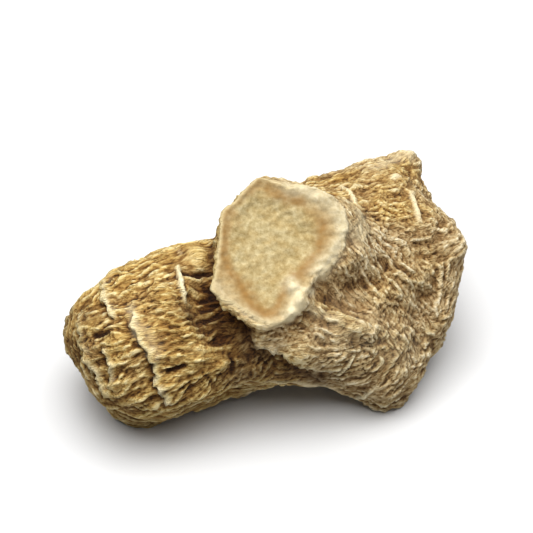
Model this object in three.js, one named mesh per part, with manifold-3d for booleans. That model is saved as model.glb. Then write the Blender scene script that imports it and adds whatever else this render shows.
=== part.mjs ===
// One dried chunk of American ginseng root, lying as it rests on a table: a stout tap root
// that forks at one end, with the flat-cut stub of a side branch standing out of its flank.
// Millimetres, +Z up. It is one solid, because the root grew as one piece.
import * as THREE from "three";
import { ImprovedNoise } from "three/addons/math/ImprovedNoise.js";
import { MarchingCubes } from "three/addons/objects/MarchingCubes.js";
import { mergeVertices } from "three/addons/utils/BufferGeometryUtils.js";
import Module from "manifold-3d";

const wasm = await Module();
wasm.setup();

// ---------- driving dimensions ----------

// The limbs. Each is a chain of round stations, a centre and a radius.
const station = (x, y, z, r) => ({ at: new THREE.Vector3(x, y, z), r });
const tapRoot = [
  station(-14.8, -14.8, 8.8, 5.2),
  station(-11.3, -15.8, 8.3, 8.0),
  station(-8.8, -14.6, 8.7, 8.4),
  station(-5.5, -13.3, 8.7, 8.2),
  station(1.5, -12.7, 9.0, 6.8),
  station(7.0, -12.0, 8.5, 6.4),
];
const crown = [station(5.6, -3.8, 9.4, 7.0), station(11.2, -3.2, 9.8, 6.4)];
const heel = [station(6.5, -3.6, 9.0, 6.6), station(8.5, 0.4, 4.6, 4.6)];
const flank = [station(7.0, -9.8, 9.2, 6.8), station(11.6, -8.7, 9.2, 5.1)];
const saddle = [station(5.5, -8.0, 14.4, 4.6), station(12.0, -3.5, 11.6, 5.2)];
const brace = [
  station(-0.6, -15.6, 12.2, 4.2),
  station(5.5, -14.4, 9.2, 4.9),
  station(10.0, -14.2, 6.4, 4.2),
];
const backFork = [station(9.0, -2.0, 10.0, 6.2), station(13.4, 3.7, 12.6, 2.3)];
const sideFork = [
  station(11.0, -7.0, 9.6, 7.0),
  station(16.6, -5.6, 11.4, 3.1),
  station(14.7, -9.6, 7.0, 3.5),
];
const frontToe = [
  station(8.2, -13.2, 7.4, 5.2),
  station(11.9, -16.2, 3.1, 3.0),
  station(14.5, -9.6, 7.0, 3.3),
];
const bodyLimbs = [crown, heel, flank, saddle, brace, backFork, sideFork, frontToe];
const limbBlend = 2.6; // fillet where one limb grows out of another

// The side branch. One stroke of a knife cut it: a point on the cut, and the way it faces.
const cut = {
  at: new THREE.Vector3(1.4, -14.5, 19.2),
  faces: new THREE.Vector3(0.12, -0.56, 0.82).normalize(),
};
const branchFoot = station(7.5, -8.0, 8.5, 6.4);
// Its section is three lobes, each with its place across and up the cut face.
const lobes = [
  { across: -0.8, up: 2.8, r: 5.1 },
  { across: 1.7, up: 1.4, r: 4.6 },
  { across: -2.6, up: -2.9, r: 4.4 },
];
const lobeBlend = 3.0;
const shoulder = { below: 6, lean: 0.12, swell: 0.3 }; // where a lobe starts to thicken
const overrun = 0.6; // the branch grows this far past the cut, which takes it off again
const stroke = { across: 0.5, up: 0.6, reach: 8.2, height: 2 }; // the knife's sweep
const branchBlend = 1.2; // the branch meets the root at a tight crease
// The tap root sinks beside the branch, most at the middle of the crease.
const crease = { depth: 2.2, width: 2.2, middle: new THREE.Vector3(-5.5, -18.0, 13.0), reach: 5.5 };

const lump = { height: 0.3, size: 5.5 }; // the root's slow swellings
const restDepth = 0.45; // how far the flesh is flattened where it touches the table

// The sampling of the surface.
const cellSize = 1.0;
const fieldSpan = 50;
const fieldCentre = new THREE.Vector3(0.5, -7.5, 9.5);
const relaxRounds = 6;

// ---------- the root as a distance field ----------

const along = new THREE.Vector3();
const offset = new THREE.Vector3();
const grain = new ImprovedNoise();

// Distance from p to a limb's skin, less than zero inside it.
function limbDistance(p, limb) {
  let nearest = Infinity;
  for (let i = 0; i + 1 < limb.length; i++) {
    const from = limb[i];
    const to = limb[i + 1];
    along.subVectors(to.at, from.at);
    offset.subVectors(p, from.at);
    const t = THREE.MathUtils.clamp(offset.dot(along) / along.lengthSq(), 0, 1);
    const radius = THREE.MathUtils.lerp(from.r, to.r, t);
    nearest = Math.min(nearest, offset.addScaledVector(along, -t).length() - radius);
  }
  return nearest;
}

// The union of two distances, with a fillet of about the given size.
function blend(a, b, size) {
  const closeness = Math.max(size - Math.abs(a - b), 0) / size;
  return Math.min(a, b) - (closeness * closeness * size) / 4;
}

// A point on the cut, so far across and up from its middle.
const cutAcross = new THREE.Vector3(0, 0, 1).cross(cut.faces).normalize();
const cutUp = cut.faces.clone().cross(cutAcross);
function onCut({ across, up }) {
  return cut.at.clone().addScaledVector(cutAcross, across).addScaledVector(cutUp, up);
}

const branch = lobes.map((lobe) => {
  const tip = onCut(lobe);
  const neck = tip.clone().addScaledVector(cut.faces, -shoulder.below);
  neck.lerp(branchFoot.at, shoulder.lean);
  tip.addScaledVector(cut.faces, 2 * overrun);
  return [branchFoot, { at: neck, r: lobe.r + shoulder.swell }, { at: tip, r: lobe.r }];
});

function rootDistance(p) {
  let stub = Infinity;
  for (const lobe of branch) stub = blend(stub, limbDistance(p, lobe), lobeBlend);
  const fade = (p.distanceTo(crease.middle) / crease.reach) ** 2;
  const sink = crease.depth * Math.exp(-((stub / crease.width) ** 2) - fade);
  let root = limbDistance(p, tapRoot) + sink;
  for (const limb of bodyLimbs) root = blend(root, limbDistance(p, limb), limbBlend);
  root += lump.height * grain.noise(p.x / lump.size, p.y / lump.size, p.z / lump.size);
  const pastCut = offset.subVectors(p, cut.at).dot(cut.faces) - overrun;
  return blend(root, Math.max(stub, pastCut), branchBlend);
}

// ---------- its skin ----------

function polygonise() {
  const size = Math.round(fieldSpan / cellSize);
  const half = fieldSpan / 2;
  const cubes = new MarchingCubes(size, new THREE.MeshBasicMaterial(), false, false, 40000);
  cubes.isolation = 0;
  const p = new THREE.Vector3();
  for (let k = 0; k < size; k++)
    for (let j = 0; j < size; j++)
      for (let i = 0; i < size; i++) {
        p.set(i, j, k).multiplyScalar(2 / size).subScalar(1).multiplyScalar(half).add(fieldCentre);
        cubes.setCell(i, j, k, -rootDistance(p));
      }
  cubes.update();
  const geometry = new THREE.BufferGeometry();
  const used = cubes.positionArray.slice(0, cubes.count * 3);
  geometry.setAttribute("position", new THREE.BufferAttribute(used, 3));
  geometry.scale(half, half, half).translate(fieldCentre.x, fieldCentre.y, fieldCentre.z);
  return mergeVertices(geometry, 1e-3);
}

// Moves p along the field's slope until it lies on the skin.
const slope = new THREE.Vector3();
const probe = new THREE.Vector3();
function pullToSkin(p) {
  const step = 0.05;
  const flattest = 0.2;
  for (let pull = 0; pull < 2; pull++) {
    const here = rootDistance(p);
    for (let axis = 0; axis < 3; axis++) {
      probe.copy(p).setComponent(axis, p.getComponent(axis) + step);
      slope.setComponent(axis, (rootDistance(probe) - here) / step);
    }
    p.addScaledVector(slope, -here / Math.max(slope.lengthSq(), flattest));
  }
}

// Evens out the triangles: each vertex moves to the middle of its neighbours, then to the skin.
function relax(geometry) {
  const position = geometry.attributes.position;
  const corner = geometry.index.array;
  const p = new THREE.Vector3();
  for (let round = 0; round < relaxRounds; round++) {
    const sum = Array.from({ length: position.count }, () => new THREE.Vector3());
    const links = new Uint16Array(position.count);
    for (let i = 0; i < corner.length; i++) {
      const next = i % 3 === 2 ? i - 2 : i + 1;
      sum[corner[i]].add(p.fromBufferAttribute(position, corner[next]));
      links[corner[i]]++;
    }
    for (let v = 0; v < position.count; v++) {
      p.copy(sum[v]).divideScalar(links[v]);
      pullToSkin(p);
      position.setXYZ(v, p.x, p.y, p.z);
    }
  }
  return geometry;
}

// ---------- cuts ----------

function solidOf(geometry) {
  const bare = new THREE.BufferGeometry();
  bare.setAttribute("position", geometry.attributes.position);
  bare.setIndex(geometry.index);
  const merged = mergeVertices(bare, 1e-3);
  const vertProperties = merged.attributes.position.array;
  const triVerts = new Uint32Array(merged.index.array);
  return new wasm.Manifold(new wasm.Mesh({ numProp: 3, vertProperties, triVerts }));
}

function geometryOf(solid) {
  const mesh = solid.getMesh();
  const geometry = new THREE.BufferGeometry();
  geometry.setAttribute("position", new THREE.BufferAttribute(mesh.vertProperties, 3));
  geometry.setIndex(new THREE.BufferAttribute(mesh.triVerts, 1));
  geometry.computeBoundingBox();
  return geometry;
}

// A drum that stands on the cut: taking it away leaves a flat that faces the way it stands.
function drum(at, faces, reach, height) {
  const body = new THREE.CylinderGeometry(reach, reach, height, 48).translate(0, height / 2, 0);
  const turn = new THREE.Quaternion().setFromUnitVectors(new THREE.Vector3(0, 1, 0), faces);
  return solidOf(body.applyQuaternion(turn).translate(at.x, at.y, at.z));
}

const grown = solidOf(relax(polygonise()));
const trimmed = grown.subtract(drum(onCut(stroke), cut.faces, stroke.reach, stroke.height));

const table = new THREE.Vector3(0, 0, geometryOf(trimmed).boundingBox.min.z + restDepth);
const downwards = new THREE.Vector3(0, 0, -1);
const rested = trimmed.subtract(drum(table, downwards, fieldSpan, 2 * restDepth));

// ---------- the piece, with its base on z = 0 and its middle over the origin ----------

const geometry = geometryOf(rested);
const middle = geometry.boundingBox.getCenter(new THREE.Vector3());
geometry.translate(-middle.x, -middle.y, -table.z);
geometry.computeVertexNormals();

const driedBark = new THREE.MeshStandardMaterial({ color: 0xb4915f, roughness: 0.9, metalness: 0 });
const ginsengRoot = new THREE.Mesh(geometry, driedBark);
ginsengRoot.name = "ginseng_root";

const part = new THREE.Group();
part.add(ginsengRoot);
export default part;
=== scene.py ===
import math
from collections import Counter
from itertools import product

import bpy
import numpy as np
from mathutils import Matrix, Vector
from mathutils.bvhtree import BVHTree
from mathutils.kdtree import KDTree


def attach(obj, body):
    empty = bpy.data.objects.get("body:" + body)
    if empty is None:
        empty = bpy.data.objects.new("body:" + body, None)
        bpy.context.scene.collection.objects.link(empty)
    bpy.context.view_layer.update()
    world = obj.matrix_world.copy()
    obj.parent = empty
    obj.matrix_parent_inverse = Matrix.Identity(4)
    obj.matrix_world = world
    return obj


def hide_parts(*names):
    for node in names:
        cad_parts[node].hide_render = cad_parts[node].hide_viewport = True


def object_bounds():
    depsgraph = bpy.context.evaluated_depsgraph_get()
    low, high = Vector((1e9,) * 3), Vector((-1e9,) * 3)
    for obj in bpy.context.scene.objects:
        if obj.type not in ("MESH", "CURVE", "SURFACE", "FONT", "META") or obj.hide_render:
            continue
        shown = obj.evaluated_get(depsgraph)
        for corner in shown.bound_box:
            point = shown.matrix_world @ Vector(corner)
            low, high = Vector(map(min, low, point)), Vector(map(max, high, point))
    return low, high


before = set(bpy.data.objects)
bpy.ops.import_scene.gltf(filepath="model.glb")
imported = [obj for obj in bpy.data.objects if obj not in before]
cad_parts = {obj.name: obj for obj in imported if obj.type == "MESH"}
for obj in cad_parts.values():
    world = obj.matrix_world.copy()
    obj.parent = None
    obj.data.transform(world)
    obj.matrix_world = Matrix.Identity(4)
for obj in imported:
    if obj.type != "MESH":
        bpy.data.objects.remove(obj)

# A chunk of dried American ginseng root: a tap root on its side, a branch sliced off short,
# and a knobbly body with the stumps of three more. The frame gives its size and its place.
# Here its skin gets the bark: wrinkles that follow the grain, growth rings, torn flakes, and
# the knife-cut face with its rim.
# All but the stage is in millimetres, and MM turns it into metres.

MM = 0.001
NODE = "ginseng_root"
CAD_BOX = [list(corner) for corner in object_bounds()]

# --- sizes ---

VOXEL = 0.2             # spacing of the fine skin
SKIN_SMOOTHING = 14     # rounds that take the frame's facets out of it
NEXT_SMOOTHING = 2      # rounds for the second skin
PATH_STEP = 0.2         # spacing of the points along a path
PATH_SMOOTHING = 6      # rounds that round off a path
CUT_NORMAL = np.array([0.12, -0.56, 0.82]) / math.sqrt(0.12**2 + 0.56**2 + 0.82**2)
CUT_LOWEST = 10.0       # the cut face is above this height
BED_DROP = 2.6          # how far the tap root's front comes down to the floor
UNDERCUT = 0.9          # how far the sliced branch is drawn in below its rim
WIDE_FURROW = 0.6       # wider furrows lie under the wrinkles, others over them
SWELLS = (4.2, 0.38, 3), (2.2, 0.3, 4)     # broad lumps: how wide, how high, and the seed

# The layers of wrinkles: how far apart their wave trains lie, how wide and how long these
# are beside the grain's own sizes, and the seed.
BROAD = 1.8, 2.0, 1.4, 7
BACKS = 1.0, 0.95, 1.15, 11
RIDGES = 0.9, 0.74, 1.5, 13
SMALL = 0.5, 0.6, 0.75, 23
FOLDS = 1.15, 1.0, 1.0, 37

# The stage, in metres and watts. The floor has one grey for the piece and one for the viewer.
FLOOR_SIZE = 1.6
FLOOR_GREY = (0.44, 0.44, 0.44, 1)
FLOOR_SEEN = (0.62, 0.62, 0.62, 1)
LAMP_PLACE = (-0.01, -0.02, 0.6)
LAMP_SIZE = 0.65
LAMP_POWER = 8.6
ROOM_LIGHT = 0.17
LENS = 262
FAR = 0.38
TILT = math.radians(45)

# The grain: where, which way the wrinkles run, over what reach, and there how wide one wrinkle
# is, how long, and how deep its grooves are. The last three are often those of the body.
BODY = 0.61, 1.4, 0.28
GRAIN = (
    # the tap root, from its rounded end to the waist
    ((-19, -7, 10.8), (0.1, 0.7, 0.7), 2.2, 0.6, 1.2, 0.3),
    ((-16.6, -6.4, 13.7), (0.7, -0.2, 0.7), 2.2, 0.6, 1.3, 0.32),
    ((-17.2, -8.6, 12.9), (0.5, 0.4, 0.7), 1.8, 0.6, 1, 0.36),
    ((-15.8, -11.4, 12.3), (0.8, -0.5, 0.4), 2.2, 0.6, 1.6, 0.3),
    ((-13.6, -13.7, 10.9), (0.4, 0.2, 0.9), 2, 0.62, 1.2, 0.32),
    ((-18.1, -10.4, 9.5), (0.4, -0.9, -0.3), 1.8, 0.6, 1.4, 0.3),
    ((-15.9, -13.3, 7), (0.7, -0.4, -0.6), 1.8, 0.6, 1.8, 0.3),
    ((-13, -14.5, 6.1), (0.7, -0.3, 0.7), 1.8, 0.6, 1.6, 0.32),
    ((-14.7, -5.8, 14.9), (0.8, 0.5, 0.3), 2.2, 0.58, 1.6, 0.3),
    ((-12.3, -6.6, 15.6), (1, -0.2, 0.3), 2.6, 0.58, 1.9, 0.31),
    ((-9.9, -3.7, 16.1), (0.9, 0.5, 0), 2.6, 0.58, 1.8, 0.28),
    ((-11.7, -9.6, 15.2), (1, 0, 0.1), 2.2, 0.58, 1.7, 0.27),
    ((-9.5, -11.4, 14.3), (1, 0.1, 0.2), 2.4, 0.58, 1.9, 0.23),
    ((-6.9, -11.3, 14), (0.8, 0.5, -0.1), 2.4, 0.58, 2.1, 0.24),
    ((-5, -12, 11.9), (0.8, 0.5, -0.3), 2.2, 0.58, 1.7, 0.28),
    ((-8.6, -13.4, 11.7), (1, 0.2, 0), 2, 0.6, 1.5, 0.24),
    ((-9.6, -14.5, 8.9), (0.9, 0.2, 0.2), 2, 0.6, 1.6, 0.34),
    ((-6.2, -13.6, 9.4), (0.3, 0.2, 0.9), 1.8, 0.8, 1.2, 0.34),
    ((-6.7, -4.9, 15.9), (0.8, 0.5, -0.3), 2, 0.6, 2, 0.26),
    # the waist, under the sliced branch, and the branch's own sides
    ((-3.4, -12.3, 9.1), (0.2, 0.2, 0.9), 2, 0.74, 1.2, 0.3),
    ((0, -11.5, 9.6), (0.3, 0.1, 0.9), 2, 0.66, 1.1, 0.28),
    ((3.9, -11, 8), (0.9, 0.2, -0.3), 2.2, 0.54, 1.5, 0.28),
    ((2.6, -10.9, 11.5), (0.9, 0, -0.4), 2, 0.44, 1.4, 0.24),
    ((5, -10, 12.2), (0.8, -0.2, -0.6), 2, 0.48, 1.3, 0.28),
    ((-2, -3, 15), (0.2, -0.4, 0.9), 3, 0.65, 1.5, 0.26),
    # the body: top, front slope, right, low front
    ((9.3, 5.8, 17.1), (0.8, 0.5, -0.2), 2.4, 0.61, 1.4, 0.26),
    ((11.7, 3.9, 16.8), (0.6, 0.8, -0.2), 2.4, *BODY),
    ((13.9, 10, 14.8), (0.3, 0.8, -0.5), 2.2, 0.63, 1.1, 0.26),
    ((12.9, 1.9, 16.1), (0.9, 0.4, -0.3), 2.2, *BODY),
    ((12.6, -0.5, 15.3), (0.9, 0, -0.5), 2.2, *BODY),
    ((16.2, 5.2, 14.9), (0.6, -0.8, -0.3), 2, 0.61, 1.4, 0.26),
    ((17.1, 1.7, 13.8), (0.8, 0.6, 0), 2, 0.61, 1.4, 0.26),
    ((15.1, -1.1, 13.2), (0.7, 0, -0.7), 2.2, *BODY),
    ((9.7, -1.1, 16.6), (0.6, -0.6, -0.6), 2.2, 0.61, 1.5, 0.28),
    ((8.4, -3.6, 15.7), (0.4, -0.5, -0.8), 2, *BODY),
    ((7.5, -5.7, 14.7), (0.7, -0.4, -0.6), 2, 0.64, 1.4, 0.2),
    ((11.1, -4.3, 14), (0.8, -0.3, -0.6), 2.2, *BODY),
    ((14.1, -3.9, 11.6), (0.6, 0, -0.8), 2.2, *BODY),
    ((16.9, -1.5, 11.1), (0.2, 0.8, 0.5), 2, *BODY),
    ((8.2, -8.6, 12.5), (0.9, 0.3, -0.2), 1.8, 0.61, 1.4, 0.26),
    ((11.1, -8.4, 10.5), (0.4, -0.3, -0.9), 2.2, 0.59, 1.4, 0.28),
    ((14.1, -6.8, 8.5), (0.5, 0.1, -0.9), 2.2, 0.59, 1.2, 0.28),
    ((12.6, -9.3, 6.6), (0.5, 0.5, 0.7), 2.2, 0.59, 1.1, 0.28),
    ((9.4, -10.1, 7.9), (0.9, 0.3, 0.4), 2, 0.59, 1.1, 0.26),
    # the back and the underside
    ((-8, -1, 8), (1, -0.1, 0), 6, 0.75, 2.2, 0.34),
    ((8, 12, 9), (1, 0.3, 0.3), 6, 0.65, 1.4, 0.28),
    ((-8, -7, 1), (1, 0, 0), 6, 0.75, 2, 0.3),
    ((11, 0, 2), (0.7, 0.7, 0), 6, 0.65, 1.4, 0.28),
)

# The colours of the bark from groove to crest: how high, and red, green and blue. The dark groove end is
# partly the bark's own colour and partly painted shade.
GOLDEN = (
    (0.04, 66, 41, 12), (0.3, 130, 93, 40), (0.54, 173, 138, 75),
    (0.78, 200, 172, 107), (0.97, 220, 200, 144),
)
GREYED = (
    (0.04, 82, 58, 30), (0.3, 142, 113, 71), (0.54, 179, 154, 110),
    (0.78, 202, 181, 141), (0.97, 222, 208, 174),
)

# The ways that the fine threads of the bark run: level, down to the right, up to the right.
THREADS = ((1, 0.1, 0), (0.6, -0.45, -0.65), (0.75, 0.55, 0.3))

# Where the solid is drawn in or out a little: the place, which way, and over what reach.
PULLS = (
    ((-19.4, -4.2, 9.2), (0.48, -0.16, -0.1), 1.8),
    ((-17.6, -3, 11.5), (0.24, -0.22, -0.22), 1.8),
    ((-19.5, -7, 6.2), (0.4, 0.1, 0.12), 1.5),
    ((-11.6, -0.8, 14.3), (0.2, -0.4, -0.5), 1.9),
    ((-17.5, -8, 3), (1.8, 0.5, 0.9), 2.4),
    ((-16.9, -9.9, 4.2), (1.2, 0.6, 0.5), 2),
    ((-18.3, -10.4, 7.2), (0.25, 0.1, 0.05), 1.4),
    ((-15.6, -11.6, 3.2), (-0.2, -0.15, -0.15), 1.4),
    ((-9.5, -12, 2), (0, -0.22, -0.22), 2.5),
    ((-11.3, -12.8, 2.3), (0, -0.3, -0.28), 1.3),
    ((-18, -3.9, 11.9), (-0.3, 0.15, 0.28), 1.4),
    ((10.1, 12.1, 13.8), (0.05, 0, -0.02), 1.6),
    ((10.2, -9.7, 1.9), (0, 0.3, 0.2), 1.4),
    ((15.2, 13.8, 12.6), (0.22, 0.06, 0.08), 1.4),
    ((19.7, 3.1, 11.3), (0.22, 0, 0.05), 1.4),
    ((-13.3, -12.6, 2.3), (-0.12, -0.32, -0.3), 1.6),
    ((-9.7, -12.4, 3), (-0.05, 0.45, 0.5), 2.2),
    ((-6.4, -12, 3.8), (-0.1, 0.55, 0.55), 2.6),
    ((-3, -10.9, 4.4), (-0.25, 1.05, 0.92), 2.6),
    ((3.6, -8.9, 4.2), (0, 0.12, 0.14), 2.2),
    ((3.6, 10.5, 13.2), (0.18, -0.42, -0.4), 2.4),
    ((8.8, 11.5, 13.9), (-0.08, 0.3, 0.32), 2.2),
    ((16.2, 8, 13.8), (-0.4, -0.2, -0.3), 1.8),
    ((17.8, 7.8, 11.1), (-0.55, -0.32, 0), 2),
    ((15.8, 12.8, 12.2), (-0.3, -0.05, 0), 1.4),
    ((19.2, 1.8, 8.6), (-0.05, 0, 0.05), 1.8),
    ((18.1, -1.5, 4.6), (-0.3, 0.08, 0.12), 2),
    ((16.6, -5, 4.6), (-0.18, 0.08, 0), 1.4),
    ((13.8, -9.5, 2), (-0.56, 0.66, 0.2), 2),
)

# Where the rim of the cut is drawn out, or in below zero, all the way round.
RIM_PULLS = (
    ((-4.5, -8.4, 17.6), 1.05), ((-4.5, -7.3, 18.3), 0.53), ((-4.4, -6.4, 18.9), 0.35),
    ((-4.4, -5.3, 19.7), 0.25), ((-4.4, -3.7, 20.8), 0.11), ((-4.3, -2.5, 21.6), 0.05),
    ((-3.6, -1.3, 22.3), -0.6), ((-2.3, -0.2, 22.9), -0.44), ((-0.8, 0.5, 23.1), 0.16),
    ((0.8, 0.7, 23.1), -0.3), ((2.4, 0.8, 22.9), -0.95), ((3.9, 0.3, 22.3), 0.1),
    ((5.3, -0.1, 21.9), 0.4), ((6.5, -1.2, 20.9), 1.15), ((7.4, -2.6, 19.9), 0.69),
    ((7.6, -3.8, 19), 0.05), ((6.4, -6.7, 17.2), -1.1), ((4.6, -8.6, 16.2), -0.95),
    ((3, -10.5, 15.1), -0.7), ((1.5, -11.5, 14.6), -0.6), ((0.5, -11.7, 14.6), -0.6),
    ((-0.8, -11.5, 15), -0.35), ((-2.5, -10.9, 15.6), -0.55), ((-3.9, -10.1, 16.3), -0.45),
)

# From here on, a row starts with the way that the thing runs over the skin.

# Edges of bark that stand over the bark on their right: how far each reaches, stands up and
# leans over, and how pale it is. The fifth is the foot of the sliced branch, the others are
# growth rings.
EDGES = (
    (((-13.3, -8.8, 15.1), (-12.8, -10, 14.9), (-12.6, -11.1, 14.4), (-12.1, -12.2, 13.6),
      (-11.1, -13, 13), (-10.6, -13.7, 11.9), (-10.5, -14.2, 10.7), (-10.2, -14.4, 9.6),
      (-9.6, -14.6, 8.2), (-8.9, -14.5, 6.7)), 0.6, 0.45, 0.35, 1.1),
    (((-15.3, -2.9, 13.5), (-15.6, -4.9, 14.2), (-15.6, -6.5, 14.4), (-15.2, -8.2, 14.5),
      (-14.2, -10, 14.5)), 0.5, 0.35, 0.25, 0.3),
    (((-18.2, -6.5, 12.1), (-17.8, -8.3, 12.2), (-17.6, -9.6, 11.8), (-17.3, -10.6, 11.1),
      (-16.9, -11.7, 10.2), (-16.2, -12.9, 9.5), (-15.6, -13.6, 8.3), (-14.8, -14, 7.1)),
      0.6, 0.55, 0.35, 0.6),
    (((-15.6, -11.5, 12.4), (-15.3, -12.4, 11.6), (-15, -13.2, 10.7), (-14.6, -13.8, 9.7),
      (-14.4, -14.2, 8.3)), 0.5, 0.4, 0.3, 0.8),
    (((-2.2, -11.2, 12.8), (-0.5, -11.2, 12.3), (1.6, -11.1, 11), (3.6, -10.9, 9.6), (5.6, -10.8, 8.3),
      (7.4, -10.5, 7.5)), 1.1, 0.38, 0.35, 0),
    (((-12.8, 0.3, 12.3), (-12.6, 1.5, 10.5), (-12.4, 2.2, 7), (-12.6, 1.2, 3.5)), 0.6, 0.28, 0.2, 0.3),
    (((-17, -1.2, 10.5), (-17, -0.5, 9.5), (-16.8, 0, 6), (-16.6, -1, 3)), 0.6, 0.28, 0.2, 0.3),
)

# Dark gaps between wrinkles on the tap root: they are both furrows and strokes of painted shade.
KNOB_GAP = (-16.5, -10.4, 12.6), (-15.1, -10.9, 13.5)
FRONT_GAP = (-10.4, -14.5, 9.6), (-9.6, -14.5, 9.1)
LOW_GAP = (-12.9, -14.5, 6.4), (-11.8, -14.6, 5.9)
TOP_GAP = (-8, -5.5, 16.3), (-6.7, -5.3, 15.9), (-5.3, -4.9, 15.7)

# Furrows, and swellings with a depth below zero: width and depth.
FURROWS = (
    (KNOB_GAP, 0.26, 0.35),
    (((-9.4, -13.8, 11.1), (-8.6, -13.5, 11.3), (-7.8, -13.3, 11.5)), 0.28, 0.4),
    (FRONT_GAP, 0.26, 0.4),
    (LOW_GAP, 0.26, 0.4),
    (((-7.4, -13.6, 10.4), (-7.3, -13.9, 9)), 0.26, 0.18),
    (((-6.2, -13.3, 10.7), (-5.2, -13.2, 8.9), (-4.6, -12.8, 7)), 0.26, 0.24),
    (((-3.5, -11.4, 11.1), (-3.3, -12.2, 9)), 0.26, 0.28),
    (((-1.7, -11.2, 11.1), (-1.5, -11.7, 8)), 0.26, 0.28),
    (TOP_GAP, 0.3, 0.65),
    (((-5.2, -7.4, 14.9), (-4.8, -8.6, 14.6), (-3, -10.8, 13.6)), 1, 0.8),
    (((6.3, -7.3, 14.3), (7.4, -7.4, 13.8), (8.9, -7.4, 13.3)), 1.1, 0.34),
    (((3.4, -9.1, 15.4), (5.3, -8.4, 14.2), (7.7, -8.6, 12.8), (10.1, -8.7, 11.2)), 0.9, -0.58),
    (((8.2, -6.6, 13.9), (11.1, -7, 12), (13.8, -6, 9.6)), 1.2, 0.35),
    (((-0.2, -11.4, 13), (2.2, -11.2, 12), (4.4, -10.8, 10.6)), 1.5, -0.35),
    (((-7.5, -1.9, 15.7), (-6.6, -3.5, 15.9)), 1.2, -0.85),
    (((-19, -6.4, 10.8), (-19, -8.4, 9.4)), 1.4, -0.3),
    (((11.8, 13.3, 13.6), (14.5, 12.8, 14)), 0.9, -0.4),
    (((18.6, 2.6, 12.8), (19.2, 1.4, 12)), 1.2, -0.4),
)

# Pale flakes and threads of bark: width, height, and how pale.
FLAKES = (
    (((-8.6, -4.6, 16.3), (-8.4, -5.8, 16.4), (-8.2, -6.9, 16.3), (-7.8, -7.9, 16.1), (-7.2, -8.8, 15.6)),
      0.33, 0.4, 1.25),
    (((-8.9, 0.4, 14.6), (-8.5, -1.1, 15.2), (-8.2, -3.3, 16.1)), 0.17, 0.12, 0.5),
    (((-15.6, -4.6, 14.1), (-15.7, -6.4, 14.4), (-15.5, -7.6, 14.5), (-15.1, -8.7, 14.5),
      (-14.5, -9.8, 14.5)), 0.17, 0.16, 0.9),
    (((7.2, 6, 16.8), (8.2, 3.9, 17.6), (8.6, 2.5, 17.8), (8.9, 1.2, 17.7)), 0.24, 0.2, 1),
    (((14.5, 6.7, 15.9), (14.4, 5.3, 15.9), (14.8, 3.7, 15.7), (15, 2.2, 15.2)), 0.36, 0.22, 1.1),
    (((12.2, 7.4, 16.3), (13.2, 8.6, 15.8)), 0.45, 0.12, 0.9),
    (((6.7, -10.5, 7.2), (7.7, -10.5, 8.4), (8.7, -10, 9.8)), 0.18, 0.3, 0.9),
    (((8.6, -8.7, 1.9), (9.5, -9.9, 3.3), (10.5, -10.2, 4.9)), 0.2, 0.35, 0.9),
    (((2.2, -7.7, 17.1), (2.8, -8.2, 16.7), (2.9, -8.9, 16.2), (2.6, -9.8, 15.6), (2.3, -10.4, 15.2)),
      0.6, 0.03, 0.5),
    (((2.9, -8.1, 16.8), (3.6, -8.1, 16.6), (4.3, -8.3, 16.4)), 0.3, 0.05, 0.45),
    (((7.1, 3.3, 17.9), (7.8, 2.3, 18.1), (8.2, 1.3, 18)), 0.13, 0.1, 0.5),
    (((7.5, -0.2, 18.4), (8.2, -0.4, 17.8), (8.8, -1, 17.1)), 0.13, 0.08, 0.5),
    (((8.2, 1, 18), (9, -0.2, 17.4), (9.4, -0.9, 16.8)), 0.13, 0.08, 0.5),
    (((8.8, -1, 17.1), (9.7, -1.5, 16.3), (10.7, -2.1, 15.5)), 0.13, 0.1, 0.6),
    (((7.9, -0.6, 18.1), (8.2, -1.6, 17.4), (8.8, -2, 16.5)), 0.13, 0.08, 0.5),
    (((9.4, -2.2, 16), (10.6, -2.9, 15), (11.4, -3.5, 14.3)), 0.13, 0.08, 0.4),
    (((8, -3, 17.1), (8.7, -3.1, 15.9), (9.2, -3.7, 15.1)), 0.13, 0.08, 0.4),
    (((10.7, 3.6, 17.1), (11.7, 2.9, 16.8)), 0.12, 0.08, 0.4),
    (((-3.4, -12.1, 6.4), (-1.7, -11.4, 6.4), (0, -11, 6.6), (2.4, -10.3, 6.1), (5.4, -9.5, 4.6),
      (7.8, -9.1, 3)), 0.35, 0.15, 0.5),
    (((12.7, 14.4, 13.2), (14.5, 14.4, 13), (15.6, 13.5, 12.6)), 0.5, 0, 0.5),
)
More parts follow.
